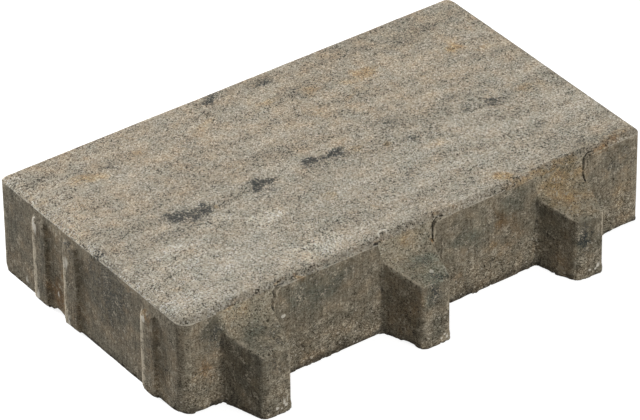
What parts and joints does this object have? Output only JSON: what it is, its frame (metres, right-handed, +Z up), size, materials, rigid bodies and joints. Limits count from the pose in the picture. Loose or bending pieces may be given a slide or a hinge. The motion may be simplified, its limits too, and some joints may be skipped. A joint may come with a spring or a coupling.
{
  "type": "concrete paving stone with spacer lugs",
  "caption": "Rectangular pressed concrete paving stone with tapered spacer lugs on a long side and low ribs on an end, for paving with open grass or gravel joints.",
  "frame": {"origin": "on the bedding plane, in the middle of the stone's outer box, lugs and ribs included", "axes": "+X along the length, from the ribbed end to the plain end; +Y across the width, from the lugs to the plain side; +Z up, from the bedding face to the walking face"},
  "size_m": [0.3022, 0.1966, 0.06],
  "materials": {
    "concrete": "matt pressed concrete, with a fine warm grey facing layer and darker brown-grey sides streaked by the mould"
  },
  "bodies": {
    "root": {"paving_stone": "concrete"}
  },
  "joints": []
}
